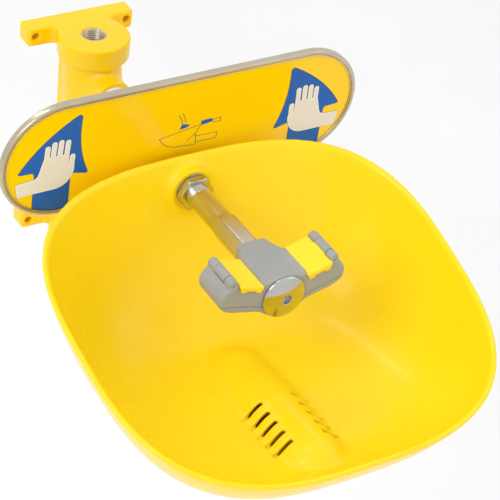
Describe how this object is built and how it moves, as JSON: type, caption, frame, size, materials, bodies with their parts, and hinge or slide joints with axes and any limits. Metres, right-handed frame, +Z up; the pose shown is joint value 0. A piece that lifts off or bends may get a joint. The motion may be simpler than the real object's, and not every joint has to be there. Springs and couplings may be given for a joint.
{
  "type": "eyewash station",
  "caption": "Wall-mounted eyewash: cast bracket, push panel on a ball valve, spray arm with covered twin-outlet head, catch bowl with hooded drain line.",
  "frame": {"origin": "centre of the four wall bolts, in the plane of the wall", "axes": "+Y into the wall, -Y towards the user, +X to the user's right, +Z up"},
  "size_m": [0.344, 0.5248, 0.2716],
  "materials": {
    "cast_yellow": "gloss powder coat on a casting",
    "bowl_yellow": "gloss moulded plastic",
    "cover_yellow": "satin moulded plastic",
    "label_print": "printed film with blue arrows and pale hands",
    "head_grey": "fine-textured moulded plastic",
    "chrome": "bright plating",
    "plated_pipe": "plated tube",
    "steel": "brushed stainless",
    "valve_brass": "nickel-plated brass",
    "panel_plate": "satin sheet",
    "seal_white": "smooth white sealing plastic",
    "rubber_black": "matt rubber"
  },
  "bodies": {
    "station": {"wall_bracket": "cast_yellow", "inlet_seal": "seal_white", "supply_nipple": "plated_pipe", "inlet_strainer": "steel", "valve_body": "valve_brass", "valve_end_cap": "valve_brass", "valve_seats": "seal_white", "stem_packing": "seal_white", "packing_nut": "steel", "pivot_screw": "steel", "spray_arm": "chrome", "lock_nuts": "chrome", "bowl_washer": "steel", "bowl_gasket": "rubber_black", "spray_head_body": "head_grey", "spray_head_base": "head_grey", "base_screws": "steel", "flow_regulator": "seal_white", "head_cap": "chrome", "cap_o_ring": "rubber_black", "left_nozzle": "steel", "right_nozzle": "steel", "left_hinge_pin": "steel", "right_hinge_pin": "steel", "bowl": "bowl_yellow", "trough_gasket": "rubber_black", "drain_trough": "bowl_yellow", "trough_screws": "steel", "drain_tube": "plated_pipe", "drain_nuts": "plated_pipe", "drain_washers": "seal_white"},
    "panel": {"push_panel": "panel_plate", "panel_label": "label_print", "panel_trim": "steel", "panel_studs": "steel", "panel_nuts": "steel", "handle_yoke": "steel", "valve_stem": "steel", "valve_ball": "chrome", "stem_nut": "steel"},
    "left_cover": {"left_dust_cover": "cover_yellow", "left_cover_knuckle": "head_grey"},
    "right_cover": {"right_dust_cover": "cover_yellow", "right_cover_knuckle": "head_grey"}
  },
  "joints": [
    {"name": "panel_swing", "type": "hinge", "parent": "station", "child": "panel", "pos_m": [0, -0.155, 0.0635], "axis": [-1, 0, 0], "range_deg": [0, 90]},
    {"name": "left_cover_hinge", "type": "hinge", "parent": "station", "child": "left_cover", "pos_m": [-0.0455, -0.361, 0.0815], "axis": [0, -1, 0], "range_deg": [0, 110]},
    {"name": "right_cover_hinge", "type": "hinge", "parent": "station", "child": "right_cover", "pos_m": [0.0455, -0.361, 0.0815], "axis": [0, 1, 0], "range_deg": [0, 110]}
  ]
}
